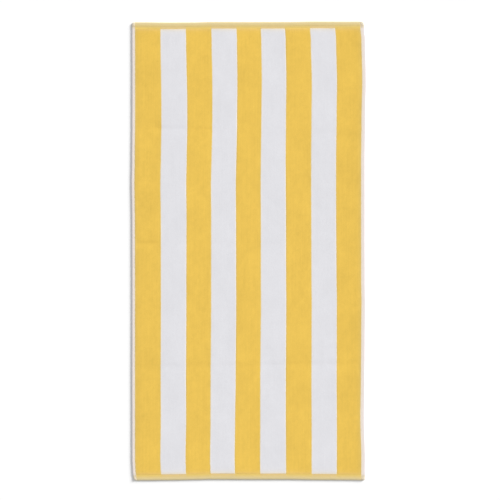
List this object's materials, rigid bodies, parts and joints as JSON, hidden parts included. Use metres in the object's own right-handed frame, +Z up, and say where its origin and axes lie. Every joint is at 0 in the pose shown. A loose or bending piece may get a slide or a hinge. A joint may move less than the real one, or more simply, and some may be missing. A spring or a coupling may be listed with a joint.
{
  "type": "beach towel",
  "caption": "Full-size velour beach towel lying flat, with broad yellow and white lengthwise stripes, pale yellow flat-woven end hems and narrow white side hems.",
  "frame": {"origin": "under the middle of the towel, on the surface that it lies on", "axes": "+X across the stripes, +Y along the stripes to the towel's upper end in the picture, +Z up out of the velour face"},
  "size_m": [0.7826, 1.5276, 0.0035],
  "materials": {
    "yellow_pile": "sheared cotton velour pile, golden yellow",
    "white_pile": "sheared cotton velour pile, white",
    "yellow_band": "flat-woven cotton end hem, pale yellow",
    "white_edge": "flat-woven cotton side hem, off-white",
    "thread": "matte cotton sewing thread"
  },
  "bodies": {
    "root": {"towel": "yellow_pile"}
  },
  "joints": []
}
